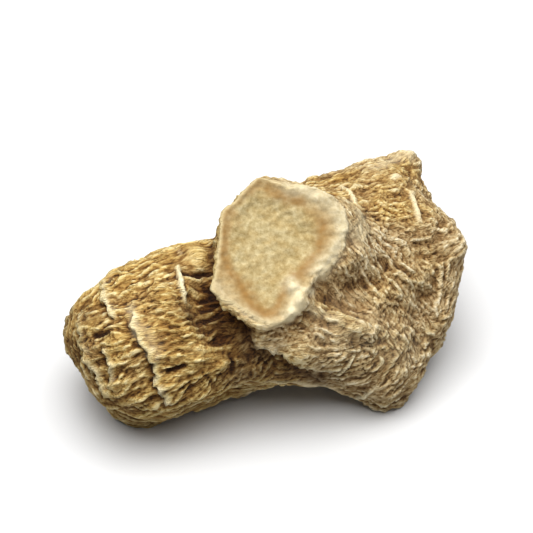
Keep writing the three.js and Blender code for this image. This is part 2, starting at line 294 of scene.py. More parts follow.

# Worn, pale stretches: width, and how pale. The faint, broad one on the body's low front slope is painted
# light, not wear.
WORN_AND_LIT = (
    (((2.4, 0.3, 22.5), (3.8, 0, 22.1), (5.5, -0.6, 21.5), (6.8, -1.3, 20.5), (7.2, -2.6, 19.8),
      (7, -3.9, 19), (6.2, -5.2, 18.2), (5, -6.5, 17.5)), 0.95, 0.95),
    (((2.3, -7.7, 17.1), (2.9, -8.2, 16.7), (3, -8.9, 16.2), (2.6, -9.8, 15.6), (2.3, -10.4, 15.2)),
      0.75, 1.1),
    (((2.9, -8.1, 16.8), (3.6, -8.2, 16.6), (4.4, -8.3, 16.4), (5, -8, 15.8)), 0.45, 1.1),
    (((-4.6, -8.4, 17.4), (-3.6, -9.6, 16.7), (-2.2, -10.6, 15.9), (-0.7, -11.2, 15.4), (1, -11, 15)),
      0.6, 0.5),
    (((10.6, 9.5, 15.5), (12.5, 12.7, 14.2), (14.3, 13, 14)), 0.7, 0.45),
    (((-13.1, -9, 15.1), (-12.7, -10.2, 14.8), (-12.4, -11.4, 14.2)), 0.5, 0.6),
    (((7.6, 1.2, 18.4), (8.3, -0.8, 17.6), (8.2, -2.2, 17.2)), 1.1, 0.5),
    # painted light: a faint pale wash over the body's low front slope
    (((6.5, -9.3, 12.8), (9, -9, 11.5), (11.5, -8, 9), (13.5, -7, 8)), 2.6, 0.14),
    (((-11.7, -11.1, 14.4), (-11.1, -12.2, 13.8), (-10.6, -12.9, 13)), 0.7, 0.3),
    (((4.3, -9, 14.9), (5.1, -8.7, 14), (6.3, -8.8, 13.1), (7.2, -8.9, 12.7)), 0.6, 0.42),
)

# The torn lip of the cut: width and height.
LIP = ((2.4, -7.7, 17), (2.9, -8.3, 16.6), (2.8, -9.2, 16), (2.4, -10.2, 15.3)), 0.7, 0.24

# Calm stretches, where the wrinkles are low: width, and how calm.
CALM = (
    (((-7.4, -1.9, 15.7), (-6.5, -3.5, 15.9)), 1.4, 1.6),
    (((-11.7, -11.1, 14.4), (-10.6, -12.9, 13)), 0.8, 0.5),
    (((-8.3, -4.3, 16.3), (-7.8, -6.4, 16.2)), 1.1, 0.3),
    (((5.8, -7, 16), (8.2, -6.9, 13.9)), 1.8, 0.5),
    (((-0.2, -11.4, 13), (4.4, -10.8, 10.6)), 1.4, 0.15),
)

# Painted shade: dark stretches where shade falls, under the sliced branch, in the waist, in the creases
# between wrinkles, along the tap root's underside and over its rounded end. Width, and how dark.
SHADE_STROKES = (
    (((-5.1, -1.6, 16.1), (-5, -3.5, 16.2), (-5.2, -4.8, 15.8)), 0.3, 0.8),
    (((-5, -7.2, 14.7), (-4.8, -8.3, 14.3), (-3.6, -10.5, 14.8), (-2.4, -10.8, 13.4), (-1, -11.1, 12)),
      1, 1),
    (((-7.2, -9.3, 15.3), (-5.8, -9.4, 13.7), (-4.1, -9.9, 12.5), (-2.4, -10.8, 12.1)), 1.5, 0.72),
    (TOP_GAP, 0.38, 0.9),
    (((-3.8, -11.6, 11.1), (-2.4, -12, 8.9), (0, -11.5, 8.7), (3, -10.9, 7.4)), 1.5, 0.65),
    (((-2.4, -11.6, 10.4), (-0.5, -11.4, 10.3), (1.4, -11.4, 9.2), (3.4, -10.9, 7.6), (5.3, -10.2, 6.2)),
      1.2, 0.75),
    (((-17.6, -9, 5), (-16.4, -11.4, 3.6), (-14, -12.6, 3), (-10.5, -13, 3), (-6.5, -12.4, 3.4)),
      1.2, 0.45),
    (((-1.2, -11.3, 13.6), (0.2, -11.4, 12.9), (1.6, -11.2, 12.2)), 0.7, 0.45),
    (((6.2, -7.4, 14.3), (7.3, -7.4, 13.8), (8.9, -7.4, 13.3)), 0.6, 0.38),
    (KNOB_GAP, 0.35, 0.6),
    (((-9.4, -13.8, 11.1), (-7.8, -13.3, 11.5)), 0.3, 0.7),
    (FRONT_GAP, 0.3, 0.7),
    (LOW_GAP, 0.3, 0.7),
    (((-17.8, -8.3, 12.2), (-17.3, -10.6, 11.1), (-16.2, -12.9, 9.5), (-15.4, -13.2, 6.5)), 2.4, 0.28),
    (((-19.2, -6.2, 10.4), (-19, -8.4, 9.2), (-18.6, -9.6, 8.2)), 1.4, 0.6),
)

# Warmer, browner stretches of the greyed bark: width, and how warm.
WARM = (
    (((3.8, -9.4, 15.7), (4.8, -8.4, 14.4), (6, -8.2, 13.7), (7.5, -8.5, 13), (9.1, -8.5, 12.1)),
      1.2, 0.5),
    (((4, 9, 15), (8, 8.5, 16), (12, 9, 15.8), (14.5, 11, 14.5)), 2.5, 0.8),
)

# The ring of cambium on the cut face, all the way round.
CAMBIUM = (
    (-3.1, -2.1, 21.7), (-0.9, -0.3, 22.6), (1.2, -0.5, 22.1), (3.3, -1, 21.5), (5.5, -3.1, 19.8),
    (5.7, -4.4, 18.8), (4.5, -6.2, 17.8), (2.4, -7.4, 17.3), (1.2, -9.2, 16.2), (0.1, -10.4, 15.5),
    (-0.9, -10.1, 15.9), (-2.4, -8.5, 17.2), (-3.6, -6.9, 18.5), (-4, -5.1, 19.7), (-3.1, -2.1, 21.7),
)

# Brown strokes on the cut face: width, and how brown.
BROWN = (
    (((-4.1, -2.4, 21.6), (-4.2, -3.6, 20.8), (-4.2, -4.9, 20), (-4.2, -6.1, 19.2), (-3.9, -7, 18.4)),
      0.65, 0.9),
    (((-3.4, -2, 21.8), (-2.9, -2.7, 21.2), (-2.6, -3.5, 20.7)), 0.4, 0.5),
    (((-3.6, -7, 18.4), (-2.4, -8.3, 17.3), (-1.9, -9.1, 16.8), (-1.4, -9.8, 16.2), (-0.9, -10.6, 15.6)),
      0.5, 1),
    (((-1.6, -8.2, 17.3), (-0.9, -9.2, 16.5), (-0.3, -10.2, 15.8)), 0.6, 0.75),
    (((-2.9, -1.7, 21.9), (-1.9, -0.6, 22.5), (-0.7, 0, 22.8)), 0.55, 0.5),
    (((0.2, -0.3, 22.4), (1.2, -0.8, 22), (2.2, -1, 21.7), (3.4, -1.1, 21.5)), 0.6, 1),
    (((5.3, -2.6, 20.2), (5.4, -3.8, 19.3), (5, -4.9, 18.6), (4.3, -5.8, 18), (3.4, -6.6, 17.7),
      (2.6, -7.2, 17.4)), 0.62, 1.05),
    (((2.5, -7.2, 17.4), (1.9, -7.9, 17), (1.6, -8.7, 16.6), (1.2, -9.5, 16.1), (0.7, -10.3, 15.6)),
      0.42, 0.9),
    (((-0.9, -10, 16), (0, -10.5, 15.6), (0.6, -10.2, 15.7)), 0.7, 1),
)

# --- small helpers ---


def make_active(piece):
    bpy.ops.object.select_all(action="DESELECT")
    piece.select_set(True)
    bpy.context.view_layer.objects.active = piece


def unit(rows):
    """The rows of an array, each made one long."""
    return rows / np.maximum(np.linalg.norm(rows, axis=-1, keepdims=True), 1e-9)


def dots(one, two):
    """Dot products, row by row."""
    return np.einsum("...j,...j->...", one, two)


def rise(value, low, high):
    """0 below low, 1 above high, and a smooth step between them."""
    t = np.clip((value - low) / (high - low), 0, 1)
    return t * t * (3 - 2 * t)


def bell(value, width):
    """1 at zero, falling away over the width to both sides."""
    return np.exp(-((value / width) ** 2))


# --- noise ---


def lumps(points, size, seed):
    """Smooth noise from about -1 to 1, with lumps of about that size."""
    spread = np.random.default_rng(seed)
    slopes = unit(spread.normal(size=(256, 3)))
    shuffle = spread.permutation(256)
    place = points / size
    corner = np.floor(place).astype(int)
    part = place - corner
    ease = part**3 * (part * (part * 6 - 15) + 10)
    total = np.zeros(len(points))
    for step in product((0, 1), repeat=3):
        at = (corner + step) & 255
        pick = shuffle[(shuffle[(shuffle[at[:, 0]] + at[:, 1]) & 255] + at[:, 2]) & 255]
        share = np.prod(np.where(step, ease, 1 - ease), axis=1)
        total += share * dots(slopes[pick], part - step)
    return total * 1.6


def near_pairs(points, seeds, reach):
    """Goes through cubes of that size: the points in each, and the seeds in and around it."""
    point_cube = np.floor(points / reach).astype(int)
    seed_cube = np.floor(seeds / reach).astype(int)
    in_cube = {}
    for index, cube in enumerate(map(tuple, seed_cube)):
        in_cube.setdefault(cube, []).append(index)
    order = np.lexsort(point_cube.T)
    edges = np.flatnonzero(np.any(np.diff(point_cube[order], axis=0), axis=1)) + 1
    for group in np.split(order, edges):
        cube = point_cube[group[0]]
        near = []
        for step in product((-1, 0, 1), repeat=3):
            near += in_cube.get(tuple(cube + step), [])
        if near:
            yield group, np.array(near)


# --- the skin ---


def read(things, name, width, kind=float):
    """What all the points or edges of a mesh say under that name, a row for each."""
    flat = np.empty(len(things) * width, dtype=kind)
    things.foreach_get(name, flat)
    return flat.reshape(-1, width)


class Skin:
    """The fine skin: its points, the ways it faces and what has been found out about it."""

    def __init__(self, piece):
        self.piece = piece
        self.mesh = piece.data
        self.points = read(self.mesh.vertices, "co", 3) / MM
        self.edges = read(self.mesh.edges, "vertices", 2, int)
        self.links = np.bincount(self.edges.ravel(), minlength=len(self.points))
        self.polygons = [tuple(face.vertices) for face in self.mesh.polygons]
        self.settle()

    def lumps(self, size, seed):
        """Smooth noise at its points."""
        return lumps(self.points, size, seed)

    def push(self, amount):
        """Moves every point outwards by its amount."""
        self.points += amount[:, None] * self.normals

    def keep(self, name, values):
        """Puts a number for every point into the mesh, for the finish."""
        layer = self.mesh.attributes.new(name, "FLOAT", "POINT")
        layer.data.foreach_set("value", np.asarray(values, dtype=np.float32))

    def settle(self):
        """Takes the present shape as the one that paths are pressed onto."""
        self.find_normals()
        self.tree = BVHTree.FromPolygons(self.points.tolist(), self.polygons)

    def find_normals(self):
        """Puts the points into the mesh, and takes from it the ways that they face."""
        self.mesh.vertices.foreach_set("co", (self.points * MM).ravel())
        self.mesh.update()
        self.normals = read(self.mesh.vertex_normals, "vector", 3)

    def evened(self, values, rounds):
        """Values averaged with those of the neighbours, that many times over."""
        values = np.array(values, dtype=float)
        one, two = self.edges.T
        columns = values.reshape(len(values), -1)
        for _ in range(rounds):
            for column in columns.T:
                total = np.bincount(one, column[two], len(column))
                total += np.bincount(two, column[one], len(column))
                column[:] = 0.5 * column + 0.5 * total / self.links
        return values

    def laid(self, path):
        """A smooth path through those places, pressed onto the skin."""
        knots = np.array(path, dtype=float)
        gaps = np.linalg.norm(np.diff(knots, axis=0), axis=1)
        along = np.concatenate([[0], np.cumsum(gaps)])
        steps = np.arange(0, along[-1], PATH_STEP)
        curve = np.stack([np.interp(steps, along, axis) for axis in knots.T], axis=1)
        for _ in range(PATH_SMOOTHING):
            curve[1:-1] = (curve[:-2] + 2 * curve[1:-1] + curve[2:]) / 4
        return np.array([self.tree.find_nearest(Vector(spot))[0] for spot in curve])

    def beside(self, path):
        """For every point: how far it is from a path over the skin, on which side of it, and how
        far along. The side is positive to the right of someone who walks along the path."""
        path = self.laid(path)
        ahead = unit(np.gradient(path, axis=0))
        distance = np.full(len(self.points), 1e3)
        side, share = np.zeros((2, len(self.points)))
        self.rightward = np.zeros(self.points.shape)
        low, high = path.min(0) - 4, path.max(0) + 4
        close = np.flatnonzero(np.all((self.points > low) & (self.points < high), axis=1))
        for some in np.array_split(close, max(1, len(close) // 4000)):
            gap = self.points[some][:, None] - path
            length = dots(gap, gap)
            best = length.argmin(axis=1)
            row = np.arange(len(some))
            right = np.cross(ahead[best], self.normals[some])
            distance[some] = np.sqrt(length[row, best])
            side[some] = dots(gap[row, best], right)
            self.rightward[some] = right
            share[some] = best / (len(path) - 1)
        return distance, side, share


def modify(piece, kind, **settings):
    """Puts a modifier on the active piece and applies it."""
    bpy.ops.object.modifier_add(type=kind)
    modifier = piece.modifiers[-1]
    for name, value in settings.items():
        setattr(modifier, name, value)
    bpy.ops.object.modifier_apply(modifier=modifier.name)


def skin_over(piece, rounds):
    """Gives a piece a skin of even spacing, smoothed that many times."""
    make_active(piece)
    modify(piece, "REMESH", mode="VOXEL", voxel_size=VOXEL * MM)
    modify(piece, "SMOOTH", factor=0.5, iterations=rounds)


def renewed(skin, outside):
    """A new even skin over a shaped one, with the distances from the rim carried over."""
    skin.find_normals()
    tree = KDTree(len(skin.points))
    for index, spot in enumerate(skin.points):
        tree.insert(spot, index)
    tree.balance()
    skin_over(skin.piece, NEXT_SMOOTHING)
    fresh = Skin(skin.piece)
    carried = np.empty(len(fresh.points))
    for index, spot in enumerate(fresh.points):
        _, near, gaps = zip(*tree.find_n(spot, 3))
        weights = 1 / (np.array(gaps) + 0.02)
        carried[index] = weights @ outside[list(near)] / weights.sum()
    return fresh, carried


def fine_skin():
    """An even skin over the frame's solid, fine enough to carve."""
    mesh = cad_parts[NODE].data.copy()
    piece = bpy.data.objects.new("root_bark", mesh)
    bpy.context.scene.collection.objects.link(piece)
    make_active(piece)
    bpy.ops.object.mode_set(mode="EDIT")
    bpy.ops.mesh.select_all(action="SELECT")
    bpy.ops.mesh.remove_doubles(threshold=0.01 * MM)
    bpy.ops.object.mode_set(mode="OBJECT")
    skin_over(piece, SKIN_SMOOTHING)
    return Skin(piece)


def solid_mesh():
    """The frame's solid, its corners merged: corner places and triangles, in millimetres."""
    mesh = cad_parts[NODE].data
    places = read(mesh.vertices, "co", 3) / MM
    corners, index = np.unique(np.round(places, 3), axis=0, return_inverse=True)
    index = index.ravel()
    return corners, np.array([[index[v] for v in face.vertices] for face in mesh.polygons])


def cut_outline(skin):
    """How far each point of the skin is outside the rim of the knife-cut face (less than
    zero inside it), how high above the plane of the cut, and the rim itself."""
    corners, triangles = solid_mesh()
    one, two, three = (corners[column] for column in triangles.T)
    facing = unit(np.cross(two - one, three - one))
    sure = (facing @ CUT_NORMAL > 0.9999) & (one[:, 2] > CUT_LOWEST)
    level = np.median(one[sure] @ CUT_NORMAL)
    on_plane = np.abs(corners @ CUT_NORMAL - level) < 0.02
    flat = on_plane[triangles].all(axis=1) & (one[:, 2] > CUT_LOWEST)
    sides = Counter(frozenset(side) for row in triangles[flat] for side in zip(row, np.roll(row, -1)))
    rim = []
    for side, times in sides.items():
        if times == 1:
            a, b = corners[list(side)]
            count = max(2, int(np.linalg.norm(b - a) / 0.1))
            rim += [a + (b - a) * t for t in np.linspace(0, 1, count)]
    rim = np.array(rim)
    middle = rim.mean(0)
    height = skin.points @ CUT_NORMAL - level
    tree = BVHTree.FromPolygons(corners.tolist(), triangles.tolist())
    inside = np.zeros(len(skin.points), dtype=bool)
    distance = np.full(len(skin.points), 1e3)
    close = np.flatnonzero((np.abs(height) < 4) & (np.linalg.norm(skin.points - middle, axis=1) < 14))
    for index in close:
        inside[index] = flat[tree.find_nearest(Vector(skin.points[index]))[2]]
    for some in np.array_split(close, max(1, len(close) // 2000)):
        gap = skin.points[some][:, None] - rim
        distance[some] = np.sqrt(dots(gap, gap).min(axis=1))
    return np.where(inside, -distance, distance), height, rim


# --- the bark ---


def grain_at(points, normals):
    """The grain at those points: its way along the skin, and the wrinkles' width, length, depth."""
    tensor = np.zeros((len(points), 3, 3))
    sizes = np.zeros((len(points), 3))
    total = np.zeros(len(points))
    for place, way, reach, *size in GRAIN:
        gap = points - place
        weight = np.exp(-0.5 * (gap**2).sum(1) / reach**2) + 1e-12
        way = unit(np.array(way))
        tensor += weight[:, None, None] * np.outer(way, way)
        sizes += weight[:, None] * np.array(size)
        total += weight
    flatten = np.eye(3) - normals[:, :, None] * normals[:, None, :]
    tensor = flatten @ (tensor / total[:, None, None]) @ flatten
    way = np.linalg.eigh(tensor)[1][:, :, 2]
    return way, sizes / total[:, None]


def scattered(skin, spacing, seed):
    """Places scattered over the skin, about that far apart, and the ways it faces there."""
    spread = np.random.default_rng(seed)
    low, high = skin.points.min(0) - 1, skin.points.max(0) + 1
    shell = 1.0
    count = int(np.prod(high - low) / (spacing**2 * 2 * shell))
    found = []
    for spot in spread.uniform(low, high, (count, 3)):
        place, normal, _, _ = skin.tree.find_nearest(Vector(spot), shell)
        if place is not None:
            found.append((*place, *normal))
    return np.hsplit(np.array(found), 2)


def streaks(skin, spacing, width_scale, length_scale, seed, turned=False):
    """Noise drawn out along the grain: many short wave trains, laid over each other.
    Turned, the same across the grain."""
    places, facing = scattered(skin, spacing, seed)
    way, sizes = grain_at(places, facing)
    spread = np.random.default_rng(seed + 1)
    count = len(places)
    if turned:
        way = np.cross(facing, way)
    way += 0.22 * spread.normal(size=way.shape)
    way = unit(way - facing * dots(way, facing)[:, None])
    across = np.cross(facing, way)
    wave = 2 * sizes[:, 0] * width_scale * np.exp(np.clip(spread.normal(0, 0.3, count), -0.6, 0.6))
    length = sizes[:, 1] * length_scale * spread.uniform(0.6, 1.3, count)
    girth = wave * 0.42
    phase = spread.uniform(0, 2 * math.pi, count)
    bend = spread.normal(0, 0.14, count)
    strength = spread.uniform(0.4, 1.3, count)
    total, power = np.zeros((2, len(skin.points)))
    points, places, way, across, facing, wave, length, girth, phase, bend, strength = (
        row.astype(np.float32)
        for row in (skin.points, places, way, across, facing, wave, length, girth, phase, bend, strength)
    )
    drift = [skin.lumps(1.5, seed + axis) for axis in (2, 3, 4)]
    points = points + 0.34 * np.stack(drift, axis=1).astype(np.float32)
    for group, near in near_pairs(points, places, 2.2 * length.max()):
        gap = points[group][:, None] - places[near]
        along, over, off = (np.einsum("ijk,jk->ij", gap, a[near]) for a in (way, across, facing))
        along = along / length[near]
        over = over + bend[near] * wave[near] * along**2
        share = np.exp(-0.5 * (along**2 + (over / girth[near]) ** 2 + (off / 1.5) ** 2))
        share *= strength[near]
        total[group] += (share * np.cos(2 * math.pi * over / wave[near] + phase[near])).sum(1)
        power[group] += (share**2).sum(1)
    return total / np.sqrt(power / 2 + 1e-6)


def pillow(waves):
    """Waves folded up into rounded backs with narrow grooves between them."""
    return 1.35 * (1 - np.exp(-1.25 * np.abs(waves) ** 0.8)) - 0.85


def crests(waves):
    """Waves drawn up into narrow crests with wide, flat hollows between them."""
    return 1.25 * (1 - np.exp(-1.1 * np.maximum(waves, 0) ** 1.4)) - 0.42


def wrinkle(skin, bark):
    """Wrinkles along the grain: here rounded backs with narrow grooves between them, there narrow
    crests with wide hollows, smaller ones on top, and shallow folds across that break them up."""
    _, sizes = grain_at(skin.points, skin.normals)
    depth = sizes[:, 2] * bark * (1 - 0.75 * rise(skin.worn, 0.2, 1.0)) * (1 - skin.calm)
    broad = np.tanh(0.8 * streaks(skin, *BROAD))
    backs = pillow(streaks(skin, *BACKS))
    ridges = crests(streaks(skin, *RIDGES))
    small = pillow(streaks(skin, *SMALL))
    folds = pillow(streaks(skin, *FOLDS, turned=True))
    root = rise(-skin.points[:, 0], 3.0, 6.0)
    share = rise(skin.lumps(2.6, 6) + 0.25 * root, -0.45, 0.15)
    patch = 0.65 + 0.6 * rise(skin.lumps(2.2, 5), -0.4, 0.5)
    large = share * ridges + (1 - share) * backs
    relief = 0.32 * broad + 0.84 * patch * large + (0.27 - 0.02 * root) * small
    relief += (0.34 - 0.18 * root) * folds
    skin.push(depth * (relief - 0.25))


def swell(skin, bark):
    """Low, broad unevenness of the whole piece."""
    for size, height, seed in SWELLS:
        skin.push(bark * height * skin.lumps(size, seed))


def pull(skin):
    """Draws the solid in or out where it needs it, but not where it rests."""
    off_floor = rise(skin.points[:, 2], 0.15, 1.2)
    start = skin.points.copy()
    for place, move, reach in PULLS:
        gap = np.linalg.norm(start - place, axis=1)
        skin.points += (bell(gap, reach) * off_floor)[:, None] * np.array(move)


def bed(skin):
    """The tap root lies on its flattened lower side: its front comes down to the floor."""
    x, y, z = skin.points.T
    stretch = rise(x, -18.0, -15.2) * (1 - rise(x, -10.5, -5.0))
    low = (1 - rise(z, 2.5, 8.0)) * (1 - rise(y, -9.5, -5.5))
    drop = BED_DROP * stretch * low
    skin.points[:, 1] += drop
    skin.points[:, 2] = np.where(drop > 0.01, np.maximum(z - drop, 0.1), z)


def shape_rim(skin, outside, height, rim):
    """Gives the cut its corners, and lets the branch run into the body on its right."""
    middle = rim.mean(0)
    east = unit(np.cross((0, 0, 1), CUT_NORMAL))
    north = np.cross(CUT_NORMAL, east)

    def bearing(points):
        return np.arctan2((points - middle) @ north, (points - middle) @ east)

    places, amounts = (np.array(column) for column in zip(*RIM_PULLS))
    here = bearing(skin.points)
    out = np.interp(here, bearing(places), amounts, period=2 * math.pi)
    gap = skin.points - middle
    flat = gap - (gap @ CUT_NORMAL)[:, None] * CUT_NORMAL
    share = bell(outside, 1.7) * bell(height, 2.0) * (np.abs(outside) < 20)
    skin.points += (out * share)[:, None] * unit(flat)
    steep = 0.16 + 0.45 * (1 - rise(here, -0.8, -0.2))
    aim = -steep * np.maximum(outside, 0) ** 1.5
    right = rise(here, -1.2, -0.7) * (1 - rise(here, 0.75, 1.1)) * (1 - rise(outside, 2.8, 6.5))
    lack = np.clip(aim - height, 0, 3.2) * (outside > -0.2) * (outside < 20)
    skin.points += (lack * right)[:, None] * CUT_NORMAL
    softened = skin.evened(skin.points, 40)
    blend = (right * bell(outside - 0.8, 1.8))[:, None]
    skin.points += blend * (softened - skin.points)


def edge(skin, bark, path, reach, height, lean, pale):
    """A ragged edge of bark that stands over the bark in front of it, with a groove under it."""
    distance, side, share = skin.beside(path)
    ends = rise(share, 0.0, 0.15) * rise(1 - share, 0.0, 0.15) * (distance < 4) * bark
    side = side + 0.55 * skin.lumps(1.1, 41) + 0.3 * skin.lumps(0.6, 42)
    behind = rise(-side, -0.15, 0.15) * bell(np.minimum(side, 0), 2.4 * reach)
    before = rise(side, -0.1, 0.25) * bell(np.maximum(side - 0.3, 0), 1.5 * reach)
    brink = bell(side + 0.12, 0.26)
    skin.push(ends * height * (0.7 * behind + 0.4 * brink - 0.75 * before))
    skin.points += (ends * lean * bell(side + 0.15, 0.5 * reach))[:, None] * skin.rightward
    broken = 0.15 + 0.95 * rise(skin.lumps(1.0, 43), -0.25, 0.3)
    skin.pale = np.maximum(skin.pale, pale * ends * brink * broken)


def furrows(skin, wide):
    """The wide furrows and swellings of the table, or the narrow ones."""
    for path, width, depth in FURROWS:
        if (width > WIDE_FURROW) == wide:
            distance = skin.beside(path)[0]
            ragged = distance * (1 + 0.3 * skin.lumps(1.2, 61))
            skin.push(-depth * np.exp(-np.abs(ragged / width) ** 2.4))


def flake(skin, path, width, height, pale):
    """A thin flake or thread of pale bark that stands up a little."""
    distance, side, share = skin.beside(path)
    width = width * (1 + 0.45 * skin.lumps(0.9, 62))
    side = side + 0.12 * skin.lumps(0.9, 63)
    taper = np.sqrt(np.clip(4 * share * (1 - share), 0, 1))
    ends = rise(-np.maximum(distance - np.abs(side), 0), -0.5, -0.1) * (distance < 2)
    ridge = rise(-np.abs(side), -1.2 * width, -0.3 * width) * ends * taper
    skin.push(height * ridge)
    skin.pale = np.maximum(skin.pale, pale * ridge)


def undercut(skin, outside, height):
    """The sliced branch is drawn in below its rim, on the side over the tap root."""
    left = rise(-skin.points[:, 0], 0.5, 3.5)
    belt = bell(outside - 2.3, 1.1) * rise(-height, 0.5, 1.4)
    skin.push(-UNDERCUT * belt * left)


def strokes(skin, table, size):
    """How much of the strokes in a table each point has, with ragged edges."""
    most = np.zeros(len(skin.points))
    for path, width, strength in table:
        distance = skin.beside(path)[0]
        ragged = np.maximum(distance + 0.5 * width * skin.lumps(size, 71), 0)
        most = np.maximum(most, strength * bell(ragged, width))
    return most


def carve(skin):
    """All the shapes of the bark and the cut, from broad to fine."""
    outside, height, rim = cut_outline(skin)
    shape_rim(skin, outside, height, rim)
    pull(skin)
    bed(skin)
    skin, outside = renewed(skin, outside)
    bark = rise(outside, -0.1, 0.9)
    swell(skin, bark)
    skin.settle()
    height = (skin.points - rim.mean(0)) @ CUT_NORMAL
    skin.pale = np.zeros(len(skin.points))
    skin.worn = strokes(skin, WORN_AND_LIT, 1.4)
    skin.calm = strokes(skin, CALM, 1.4)
    for path, width, _, pale in FLAKES:
        distance = skin.beside(path)[0]
        skin.calm = np.maximum(skin.calm, 0.7 * pale * bell(distance, 1.5 * width))
    skin.calm = np.minimum(skin.calm, 0.9)
    undercut(skin, outside, height)
    furrows(skin, wide=True)
    skin.find_normals()
    wrinkle(skin, bark)
    for row in EDGES:
        edge(skin, bark, *row)
    skin.find_normals()
    furrows(skin, wide=False)
    for row in FLAKES:
        flake(skin, *row)
    # how much painted shade each point gets, kept for the finish
    skin.stain = strokes(skin, SHADE_STROKES, 1.6) * bark
    cut_face(skin, outside, height)
    return skin


def cut_face(skin, outside, height):
    """The knife-cut face: dished, granular, with a ring of cambium inside a raised rim. On its
    right it has no rim: there the flesh rounds over into the bark."""
    inside = rise(-outside, -0.1, 0.3)
    distance, side, _ = skin.beside(CAMBIUM)
    ring_off = np.where(side > 0, distance, -distance) + 0.3 * skin.lumps(1.1, 55)
    skin.core = rise(ring_off, -0.1, 0.5) * (distance < 20) * inside
    rimmed = 1 - rise(skin.points[:, 0], 2.0, 5.0)
    level = -0.8 * height * inside * (1 - skin.worn * (1 - rimmed))
    dish = -0.55 * rise(ring_off, -0.3, 2.0) * inside
    lip = rimmed * 0.18 * bell(outside + 0.3, 0.3) * (1 + 0.7 * skin.lumps(1.6, 51))
    groove = -0.1 * bell(ring_off, 0.3) * inside
    grains = 0.09 * skin.lumps(0.75, 52) + 0.09 * skin.lumps(0.42, 53)
    torn = skin.worn * inside * (0.25 + 0.5 * skin.lumps(1.1, 54))
    path, width, stand = LIP
    torn = torn + stand * bell(skin.beside(path)[0], width) * (1 + 0.5 * skin.lumps(0.9, 56))
    moved = level + dish + lip + groove + torn + grains * inside
    skin.points += moved[:, None] * CUT_NORMAL
    fringe = skin.lumps(0.9, 59) + 0.5 * skin.lumps(0.45, 60)
    skin.push(0.3 * (1 - rimmed) * bell(outside, 0.5) * fringe)
    frayed = 0.8 * skin.lumps(0.9, 57) + 0.5 * skin.lumps(0.4, 58) - 0.3
    skin.cut = rise((1 - rimmed) * frayed - outside, -0.1, 0.3)
    skin.brown = strokes(skin, BROWN, 0.9) * inside
    skin.rim = bell(outside + 0.05, 0.24) * (0.25 + 0.75 * rimmed)


def finish_skin(skin):
    """Keeps the skin on its resting faces, and records what the finish needs to know."""
    skin.points[:, 2] = np.maximum(skin.points[:, 2], CAD_BOX[0][2] / MM)
    skin.find_normals()
    # How far each point stands out from its neighbours, close by and broadly: the finish darkens the low
    # ones, in part as painted shade.
    for name, rounds, scale in (("crest", 8, 0.13), ("hump", 60, 0.35)):
        gap = skin.points - skin.evened(skin.points, rounds)
        raised = dots(gap, skin.normals) / scale
        skin.keep(name, np.clip(0.5 + 0.5 * raised, 0, 1))
    x, y, z = skin.points.T
    plateau = 0.6 * rise(z, 14.0, 16.5) * rise(y, -1.0, 3.0)
    waist = 0.8 * rise(-x, -6.0, -1.5) * rise(-z, -12.5, -9.5) * rise(-y, 7.0, 9.0)
    golden = np.maximum.reduce([rise(-x, -2.0, 4.5), waist, strokes(skin, WARM, 1.6), plateau + 0.15])
    skin.keep("golden", golden)
    way, _ = grain_at(skin.points, skin.normals)
    along = np.abs(way @ unit(np.array(THREADS)).T) ** 10 + 1e-6
    along /= along.sum(1, keepdims=True)
    skin.keep("falling", along[:, 1])
    skin.keep("climbing", along[:, 2])
    for name in ("cut", "brown", "rim", "pale", "core", "worn", "stain"):
        skin.keep(name, getattr(skin, name))


# --- finishes ---


def linear(*shade):
    """A colour written as 10 to 255 a channel, as the shader wants it."""
    return tuple(((c / 255 + 0.055) / 1.055) ** 2.4 for c in shade) + (1,)


